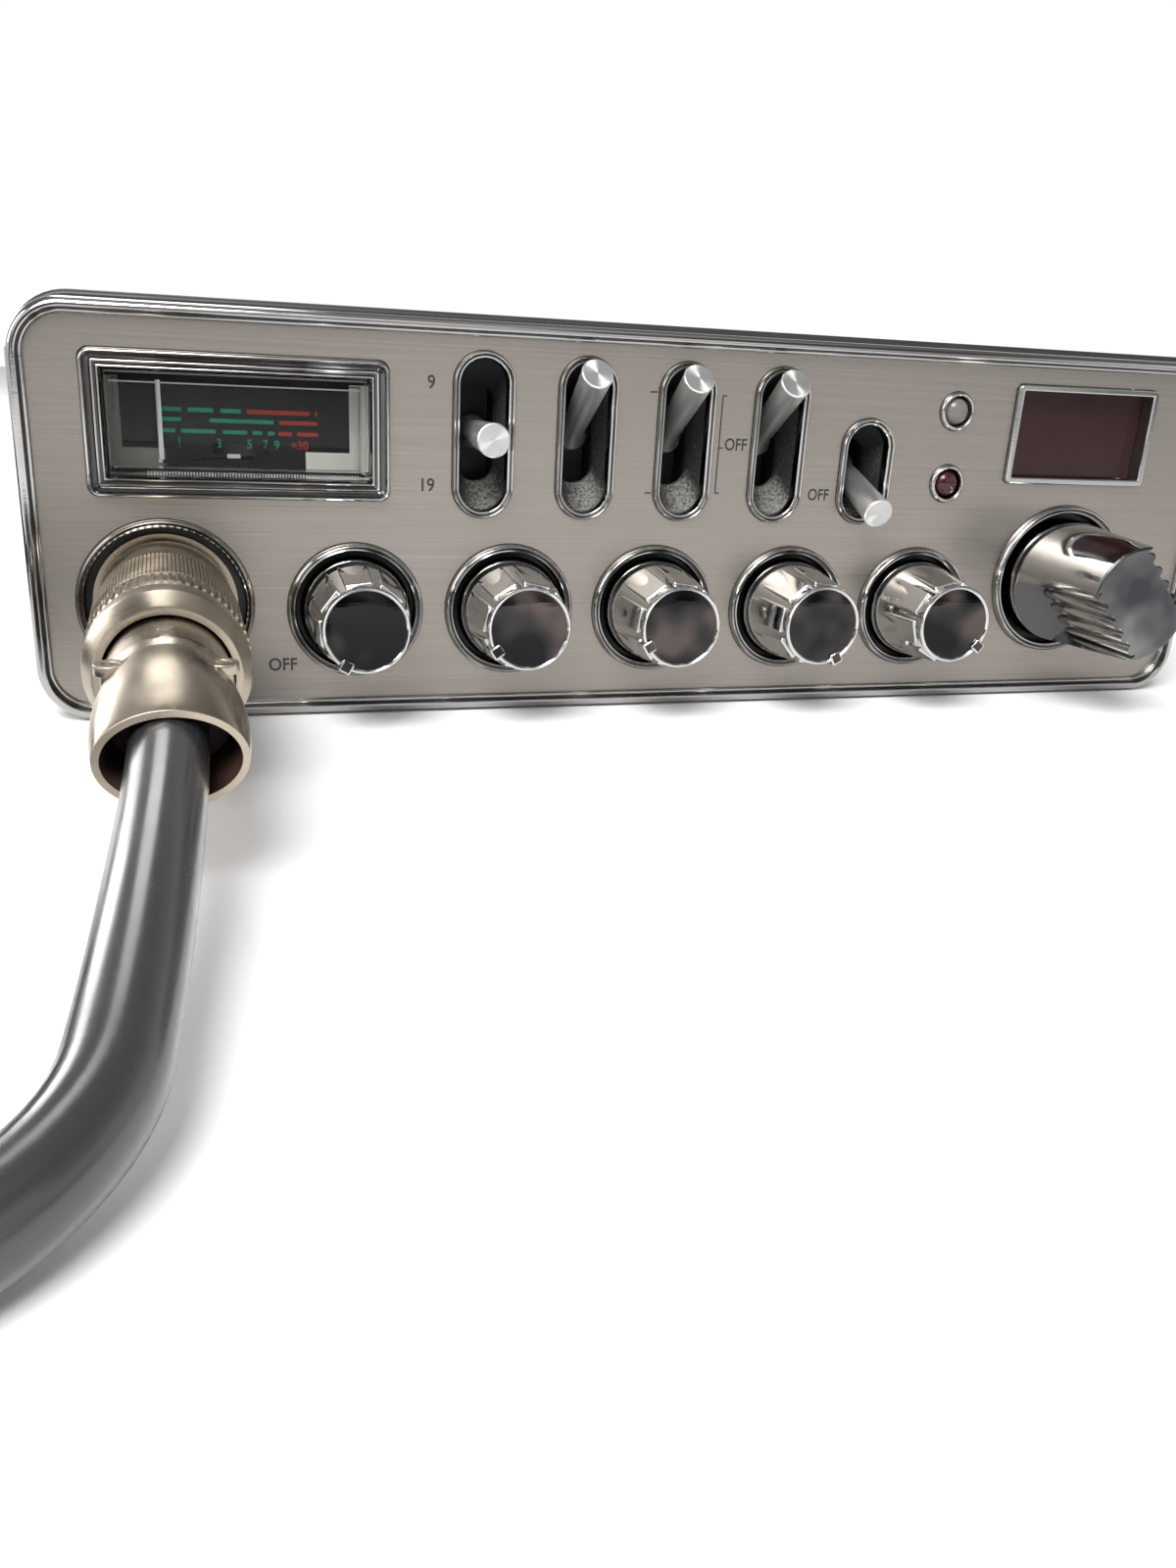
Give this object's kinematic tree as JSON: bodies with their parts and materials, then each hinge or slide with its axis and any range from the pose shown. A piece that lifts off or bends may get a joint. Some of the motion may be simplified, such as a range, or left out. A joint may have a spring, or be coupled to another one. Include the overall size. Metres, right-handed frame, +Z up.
{
  "type": "cb radio",
  "caption": "Mobile two-way radio with a chrome-trimmed face of knobs, levers, meter and display, and a hand microphone on a plug and cord.",
  "frame": {"origin": "under the middle of the case, on the surface that the radio stands on; the face plate's front is 112 mm towards -Y", "axes": "+Z up, +X to the user's right when facing the controls, -Y out of the face towards the user"},
  "size_m": [0.3318, 0.3749, 0.06],
  "materials": {
    "chrome_trim": "polished, a little worn",
    "brushed_plate": "brushed, clear lacquered",
    "black_plastic": "fine grained",
    "black_gloss": "polished",
    "knob_chrome": "vacuum plated plastic",
    "lever_metal": "turned, satin",
    "clear_lens": "clear acrylic",
    "lamp_clear": "frosted epoxy",
    "lamp_red": "tinted epoxy",
    "display_filter": "dark red filter",
    "dial_print": "printed dial",
    "needle_white": "white",
    "phenolic": "moulded",
    "zinc_plate": "zinc plated",
    "plug_nickel": "nickel plated, worn",
    "cord_black": "smooth, glossy jacket",
    "mic_plastic": "fine grained",
    "paper": "pressed paper",
    "case_paint": "satin black paint",
    "heatsink_black": "black anodised",
    "board_green": "glass-epoxy board",
    "screw_steel": "zinc plated"
  },
  "bodies": {
    "radio": {"escutcheon": "black_plastic", "chrome_bezel": "chrome_trim", "face_plate": "brushed_plate", "control_rings": "chrome_trim", "slot_rings": "chrome_trim", "slot_wells": "black_plastic", "lever_switches": "black_plastic", "potentiometers": "zinc_plate", "channel_selector": "zinc_plate", "transmit_lamp": "lamp_clear", "alert_lamp": "lamp_red", "meter_frame": "black_gloss", "meter_lens": "clear_lens", "meter_housing": "black_plastic", "meter_dial": "dial_print", "display_frame": "chrome_trim", "display_window": "display_filter", "display_module": "black_plastic", "mic_socket": "plug_nickel", "mic_contacts": "phenolic", "plug_body": "plug_nickel", "plug_clamp": "plug_nickel", "plug_screws": "screw_steel", "mic_cord_lead": "cord_black", "mic_cord_coil": "cord_black", "mic_cord_tail": "cord_black", "mic_back_shell": "mic_plastic", "mic_front_shell": "mic_plastic", "mic_grille_sheet": "zinc_plate", "mic_capsule": "zinc_plate", "talk_switch": "phenolic", "hang_up_stud": "screw_steel", "strain_relief": "cord_black", "mic_case_screws": "screw_steel", "chassis_frame": "zinc_plate", "top_cover": "case_paint", "bottom_cover": "case_paint", "cover_screws": "screw_steel", "heatsink": "heatsink_black", "antenna_socket": "plug_nickel", "audio_jacks": "black_plastic", "power_inlet": "black_plastic", "speaker": "zinc_plate", "speaker_cone": "paper", "circuit_board": "board_green", "board_components": "zinc_plate"},
    "priority_lever": {"priority_lever": "lever_metal"},
    "meter_lever": {"meter_lever": "lever_metal"},
    "band_lever": {"band_lever": "lever_metal"},
    "blanker_lever": {"blanker_lever": "lever_metal"},
    "dual_lever": {"dual_lever": "lever_metal"},
    "volume_knob": {"volume_knob": "knob_chrome"},
    "squelch_knob": {"squelch_knob": "knob_chrome"},
    "calibration_knob": {"calibration_knob": "knob_chrome"},
    "rf_gain_knob": {"rf_gain_knob": "knob_chrome"},
    "mic_gain_knob": {"mic_gain_knob": "knob_chrome"},
    "channel_knob": {"channel_knob": "knob_chrome"},
    "meter_needle": {"meter_needle": "needle_white"},
    "plug_coupling_ring": {"plug_coupling_ring": "plug_nickel"},
    "talk_bar": {"talk_bar": "black_gloss"}
  },
  "joints": [
    {"name": "volume_turn", "type": "hinge", "parent": "radio", "child": "volume_knob", "pos_m": [-0.0538, -0.119, 0.0162], "axis": [0, 1, 0], "range_deg": [0, 300]},
    {"name": "squelch_turn", "type": "hinge", "parent": "radio", "child": "squelch_knob", "pos_m": [-0.02965, -0.119, 0.0162], "axis": [0, 1, 0], "range_deg": [-30, 270]},
    {"name": "calibration_turn", "type": "hinge", "parent": "radio", "child": "calibration_knob", "pos_m": [-0.0055, -0.119, 0.0162], "axis": [0, 1, 0], "range_deg": [-30, 270]},
    {"name": "rf_gain_turn", "type": "hinge", "parent": "radio", "child": "rf_gain_knob", "pos_m": [0.01865, -0.119, 0.0162], "axis": [0, 1, 0], "range_deg": [-300, 0]},
    {"name": "mic_gain_turn", "type": "hinge", "parent": "radio", "child": "mic_gain_knob", "pos_m": [0.0428, -0.119, 0.0162], "axis": [0, 1, 0], "range_deg": [-270, 30]},
    {"name": "channel_turn", "type": "hinge", "parent": "radio", "child": "channel_knob", "pos_m": [0.0719, -0.122, 0.02107], "axis": [0, 1, 0], "continuous": true},
    {"name": "priority_flick", "type": "hinge", "parent": "radio", "child": "priority_lever", "pos_m": [-0.0344, -0.1025, 0.0427], "axis": [-1, 0, 0], "range_deg": [-35.4, 35.4]},
    {"name": "meter_flick", "type": "hinge", "parent": "radio", "child": "meter_lever", "pos_m": [-0.01817, -0.1025, 0.0427], "axis": [-1, 0, 0], "range_deg": [-70.8, 0]},
    {"name": "band_flick", "type": "hinge", "parent": "radio", "child": "band_lever", "pos_m": [-0.00194, -0.1025, 0.0427], "axis": [-1, 0, 0], "range_deg": [-70.8, 0]},
    {"name": "blanker_flick", "type": "hinge", "parent": "radio", "child": "blanker_lever", "pos_m": [0.01429, -0.1025, 0.0427], "axis": [-1, 0, 0], "range_deg": [-70.8, 0]},
    {"name": "dual_flick", "type": "hinge", "parent": "radio", "child": "dual_lever", "pos_m": [0.03052, -0.1025, 0.039], "axis": [-1, 0, 0], "range_deg": [0, 41.4]},
    {"name": "needle_swing", "type": "hinge", "parent": "radio", "child": "meter_needle", "pos_m": [-0.06978, -0.0955, 0.04275], "axis": [0, 0, 1], "range_deg": [0, 100]},
    {"name": "coupling_ring_turn", "type": "hinge", "parent": "radio", "child": "plug_coupling_ring", "pos_m": [-0.08067, -0.13199, 0.0172], "axis": [0.0366, -0.9993, 0], "continuous": true},
    {"name": "talk_press", "type": "slide", "parent": "radio", "child": "talk_bar", "axis": [1, 0, 0], "range_m": [0, 0.0025], "stiffness_N_per_m": 900}
  ]
}
